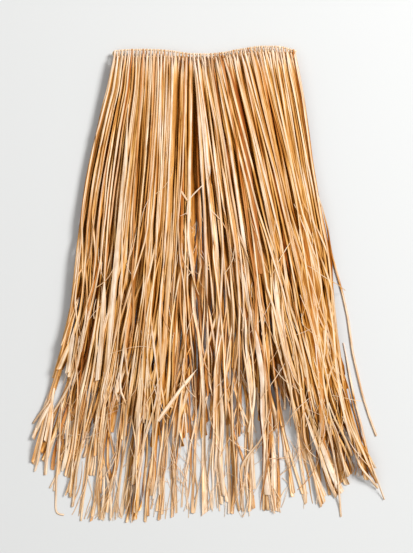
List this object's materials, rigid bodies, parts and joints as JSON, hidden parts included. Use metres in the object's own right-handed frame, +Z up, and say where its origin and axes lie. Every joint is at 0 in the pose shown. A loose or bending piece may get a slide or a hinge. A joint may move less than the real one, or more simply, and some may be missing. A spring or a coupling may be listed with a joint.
{
  "type": "grass skirt",
  "caption": "Long raffia grass skirt laid flat: a waist cord with raffia locks looped over it, hanging to a ragged hem, the front curtain lying on the back one.",
  "frame": {"origin": "under the middle of the skirt's box, on the surface that it lies on", "axes": "+Y towards the waist cord, -Y towards the hem, +X to the right seen from above, +Z up through the front curtain"},
  "size_m": [0.5868, 0.8013, 0.0124],
  "materials": {
    "cord": "twisted natural fibre cord, pale cream, matt",
    "raffia_back": "dry raffia strips in the under layer, warm brown straw, soft satin grain along the strand",
    "raffia_front": "dry raffia strips, warm straw to golden tan, soft satin grain along the strand",
    "raffia_loose": "single dry raffia strip, pale straw, soft satin"
  },
  "bodies": {
    "root": {"waist_cord": "cord", "back_lock_01": "raffia_back", "back_lock_02": "raffia_back", "back_lock_03": "raffia_back", "back_lock_04": "raffia_back", "back_lock_05": "raffia_back", "back_lock_06": "raffia_back", "back_lock_07": "raffia_back", "back_lock_08": "raffia_back", "back_lock_09": "raffia_back", "back_lock_10": "raffia_back", "back_lock_11": "raffia_back", "back_lock_12": "raffia_back", "back_lock_13": "raffia_back", "back_lock_14": "raffia_back", "back_lock_15": "raffia_back", "back_lock_16": "raffia_back", "back_lock_17": "raffia_back", "back_lock_18": "raffia_back", "back_lock_19": "raffia_back", "back_lock_20": "raffia_back", "front_lock_01": "raffia_front", "front_lock_02": "raffia_front", "front_lock_03": "raffia_front", "front_lock_04": "raffia_front", "front_lock_05": "raffia_front", "front_lock_06": "raffia_front", "front_lock_07": "raffia_front", "front_lock_08": "raffia_front", "front_lock_09": "raffia_front", "front_lock_10": "raffia_front", "front_lock_11": "raffia_front", "front_lock_12": "raffia_front", "front_lock_13": "raffia_front", "front_lock_14": "raffia_front", "front_lock_15": "raffia_front", "front_lock_16": "raffia_front", "front_lock_17": "raffia_front", "front_lock_18": "raffia_front", "front_lock_19": "raffia_front", "front_lock_20": "raffia_front", "front_lock_21": "raffia_front", "front_lock_22": "raffia_front", "front_lock_23": "raffia_front", "front_lock_24": "raffia_front", "loose_strand_1": "raffia_loose", "loose_strand_2": "raffia_loose"}
  },
  "joints": []
}
